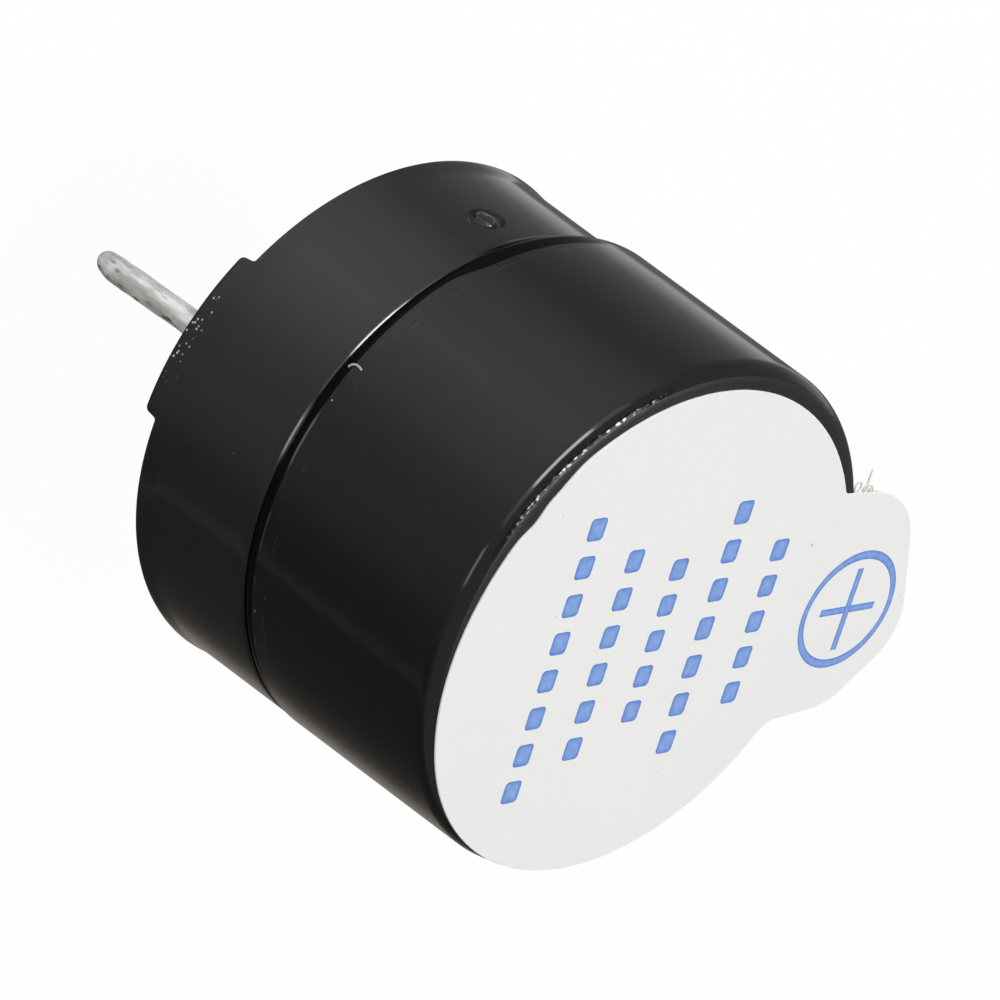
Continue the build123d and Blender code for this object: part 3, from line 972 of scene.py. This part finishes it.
# How bright the studio is to mirrors, by compass angle in degrees from the film's tab
COMPASS_START = -30
STUDIO = (
    (-30, 0.14),
    (-2.5, 0.17),
    (2, 0.84),
    (8, 0.70),
    (13, 0.58),
    (20, 0.37),
    (28, 0.30),
    (44, 0.26),
    (54, 0.23),
    (64, 0.25),
    (73, 0.39),
    (83, 0.54),
    (93, 0.63),
    (104, 0.74),
    (114, 0.84),
    (125, 0.72),
    (143, 0.54),
    (151, 0.40),
    (164, 0.31),
    (180, 0.27),
    (193, 0.21),
    (205, 0.10),
    (217, 0.067),
    (223, 0.08),
    (229.5, 0.17),
    (232, 0.07),
    (250, 0.062),
    (271, 0.064),
    (287, 0.085),
    (297, 0.14),
    (307, 0.27),
    (330, 0.30),
)


def tinted(angle, level):
    """The studio's light at a compass angle: cool from the window's side, warm from the other."""
    cool = 0.07 if 55 < angle < 150 else 0
    warm = 0.10 if angle > 265 else 0
    return (level * (1 - cool + warm), level, level * (1 + cool - warm), 1)


def studio_world():
    """White to the eye, even for soft light, and shaded round the compass for mirrors."""
    world = bpy.data.worlds.new("studio")
    bpy.context.scene.world = world
    world.use_nodes = True
    tree = world.node_tree
    tree.nodes.clear()
    path = node(tree, "LightPath")
    ray = node(tree, "TexCoord").outputs["Generated"]
    turn = {"Vector": ray, "Rotation": (0, 0, math.pi - FILM_TURN - math.radians(COMPASS_START))}
    compass = node(tree, "Mapping", turn, vector_type="POINT").outputs[0]
    angle = node(tree, "TexGradient", {0: compass}, gradient_type="RADIAL").outputs[1]
    shades = node(tree, "ValToRGB", {0: angle})
    stops = shades.color_ramp.elements
    for position, level in STUDIO[1:-1]:
        stops.new((position - COMPASS_START) / 360)
    for stop, (position, level) in zip(stops, STUDIO):
        stop.position = (position - COMPASS_START) / 360
        stop.color = tinted(position, level)
    height = node(tree, "SeparateXYZ", {0: ray}).outputs[2]
    gloss = blend(tree, remap(tree, height, -0.88, -0.66), grey(0.02), shades.outputs[0])
    gloss = blend(tree, remap(tree, height, 0.05, 0.4), gloss, grey(0.30))
    light = blend(tree, path.outputs["Is Glossy Ray"], grey(0.19), gloss)
    light = blend(tree, path.outputs["Is Camera Ray"], light, grey(1.0))
    sky = node(tree, "Background", {"Color": light, "Strength": 1.0})
    node(tree, "OutputWorld", {"Surface": sky.outputs[0]})


def compass_ray(azimuth, elevation):
    """A direction of the film's frame, in degrees from the tab and above the horizon."""
    flat = math.cos(math.radians(elevation))
    turn = math.radians(azimuth)
    return Vector((flat * math.cos(turn), flat * math.sin(turn), math.sin(math.radians(elevation))))


def lamp(name, toward, along, wide, high, level):
    """A lamp of that radiance and size in degrees, out along a direction of the film's frame."""
    reach = LAMP_REACH
    length, width = (2 * reach * math.tan(math.radians(size) / 2) for size in (wide, high))
    data = bpy.data.lights.new(name, "AREA")
    data.shape = "RECTANGLE"
    data.size = length
    data.size_y = width
    data.energy = level * math.pi * length * width
    made = bpy.data.objects.new(name, data)
    bpy.context.scene.collection.objects.link(made)
    turn = Matrix.Rotation(FILM_TURN, 3, "Z")
    back = turn @ toward.normalized()
    up = back.cross(turn @ along).normalized()
    axes = Matrix((up.cross(back), up, back)).transposed()
    place = Vector((0, 0, CAP_TOP / 2)) + back * reach
    made.matrix_world = Matrix.Translation(place) @ axes.to_4x4()
    made.visible_camera = False


def photo_camera():
    """The photograph's camera."""
    data = bpy.data.cameras.new("camera")
    data.sensor_width = 36
    data.lens = 188.63
    data.clip_start = 1 * MM
    made = bpy.data.objects.new("camera", data)
    bpy.context.scene.collection.objects.link(made)
    right = Vector((0.69127, 0.31671, 0.64949))
    up = Vector((0.05211, 0.87464, -0.48196))
    back = Vector((-0.72072, 0.36701, 0.58811))
    axes = Matrix((right, up, back)).transposed()
    turn = Matrix.Rotation(FILM_TURN, 3, "Z")
    place = turn @ (Vector((-78.68, 40.42, 59.37)) * MM) + Vector((0, 0, FILM_TOP))
    made.matrix_world = Matrix.Translation(place) @ (turn @ axes).to_4x4()
    bpy.context.scene.camera = made


studio_floor()
studio_world()
lamp("key", Vector((0.09, 0.286, 0.954)), Vector((0.544, 0.326, -0.18)), 36.5, 13, 15)
window_start, window_end = compass_ray(109, 17.6), compass_ray(136.4, 20.5)
lamp("window", window_start + window_end, window_end - window_start, 28, 15, 10)
lamp("glow", window_start + window_end, window_end - window_start, 62, 24, 0.7)
fill_start, fill_end = compass_ray(166, 12), compass_ray(181, 12)
lamp("fill", fill_start + fill_end, fill_end - fill_start, 15, 14, 2.2)
photo_camera()
bpy.context.scene.view_settings.view_transform = "Standard"
